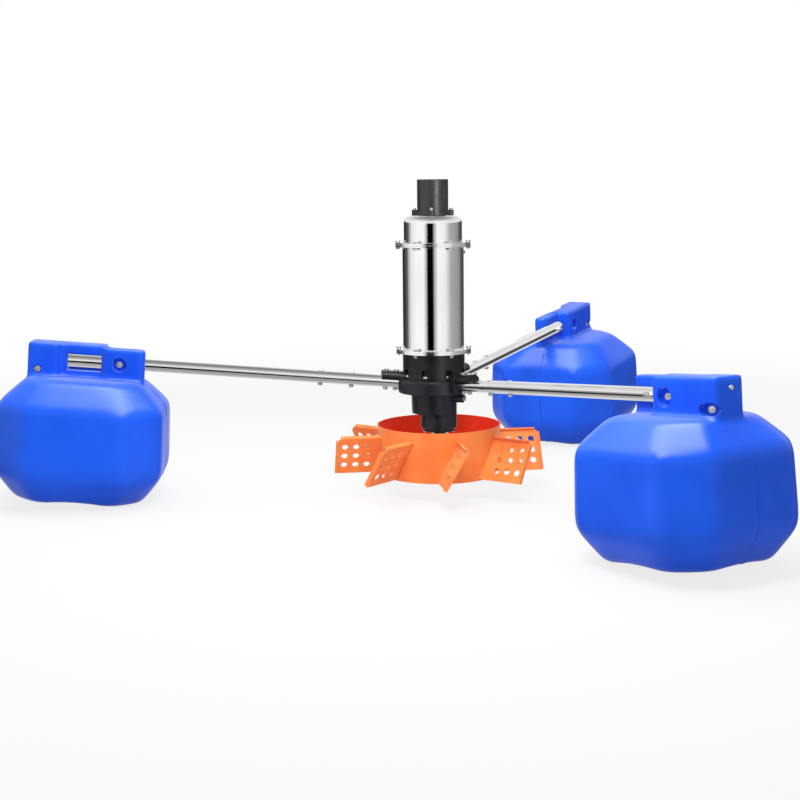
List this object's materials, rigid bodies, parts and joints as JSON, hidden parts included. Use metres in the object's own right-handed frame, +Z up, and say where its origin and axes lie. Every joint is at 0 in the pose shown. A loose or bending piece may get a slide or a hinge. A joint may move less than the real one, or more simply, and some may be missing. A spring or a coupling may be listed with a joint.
{
  "type": "impeller aerator",
  "caption": "Floating pond aerator: upright motor and gearbox on stainless arms with blow-moulded floats, driving a conical drum impeller with inclined perforated blades.",
  "frame": {"origin": "middle of the lower end face of the output shaft, on the impeller's axis", "axes": "+Z up along the impeller's axis, one arm along -X, the other two at 60 degrees either side of +X"},
  "size_m": [2.2255, 2.5226, 0.9889],
  "materials": {
    "black_plastic": "satin moulded plastic",
    "rubber": "matt rubber",
    "stainless": "polished stainless sheet",
    "fasteners": "bright stainless fasteners",
    "casting": "dark painted casting",
    "steel": "machined steel",
    "laminations": "stacked electrical sheet",
    "copper": "varnished copper windings",
    "gasket": "gasket sheet",
    "orange_paint": "semi-gloss orange paint",
    "float_blue": "semi-gloss blow-moulded polyethylene"
  },
  "bodies": {
    "frame": {"arm_nuts": "fasteners", "arm_sleeves": "stainless", "arm_tube_1": "stainless", "arm_tube_2": "stainless", "arm_tube_3": "stainless", "bearing_cap": "casting", "bearing_cap_screws": "fasteners", "cable_cap": "black_plastic", "cable_grommet": "rubber", "cap_screws": "fasteners", "case_gasket": "gasket", "counter_lower_bearing": "steel", "counter_upper_bearing": "steel", "cover_bolts": "fasteners", "drain_plug": "fasteners", "earth_screw": "fasteners", "flange_bolts": "fasteners", "flange_nuts": "fasteners", "float_1": "float_blue", "float_2": "float_blue", "float_3": "float_blue", "float_bolts": "fasteners", "float_nuts": "fasteners", "float_plugs": "fasteners", "gear_case": "casting", "gearbox_cover": "casting", "input_seal": "rubber", "lower_end_shield": "stainless", "motor_casing": "stainless", "motor_dome": "stainless", "motor_lower_bearing": "steel", "motor_upper_bearing": "steel", "output_lower_bearing": "steel", "output_seal": "rubber", "output_upper_bearing": "steel", "saddle_bolts": "fasteners", "shield_screws": "fasteners", "sleeve_bolts": "fasteners", "stator_core": "laminations", "stator_windings": "copper", "upper_end_shield": "stainless"},
    "motor_rotor": {"motor_shaft": "steel", "rotor_core": "laminations"},
    "countershaft": {"countershaft": "steel", "counter_gear": "steel"},
    "impeller": {"output_shaft": "steel", "output_gear": "steel", "impeller_hub": "orange_paint", "hub_key": "steel", "hub_set_screws": "fasteners", "impeller_spokes": "orange_paint", "impeller_drum": "orange_paint", "blade_1": "orange_paint", "blade_2": "orange_paint", "blade_3": "orange_paint", "blade_4": "orange_paint", "blade_5": "orange_paint", "blade_6": "orange_paint", "blade_7": "orange_paint", "blade_8": "orange_paint"}
  },
  "joints": [
    {"name": "impeller_spin", "type": "hinge", "parent": "frame", "child": "impeller", "pos_m": [0, 0, 0.1], "axis": [0, 0, 1], "continuous": true},
    {"name": "countershaft_spin", "type": "hinge", "parent": "frame", "child": "countershaft", "pos_m": [-0.04378, 0.03161, 0.28], "axis": [0, 0, 1], "continuous": true},
    {"name": "motor_spin", "type": "hinge", "parent": "frame", "child": "motor_rotor", "pos_m": [-0.015, 0, 0.5], "axis": [0, 0, 1], "continuous": true}
  ],
  "couplings": [
    {"joint": "countershaft_spin", "follows": "impeller_spin", "ratio": -2.8571},
    {"joint": "motor_spin", "follows": "impeller_spin", "ratio": 10.714}
  ]
}
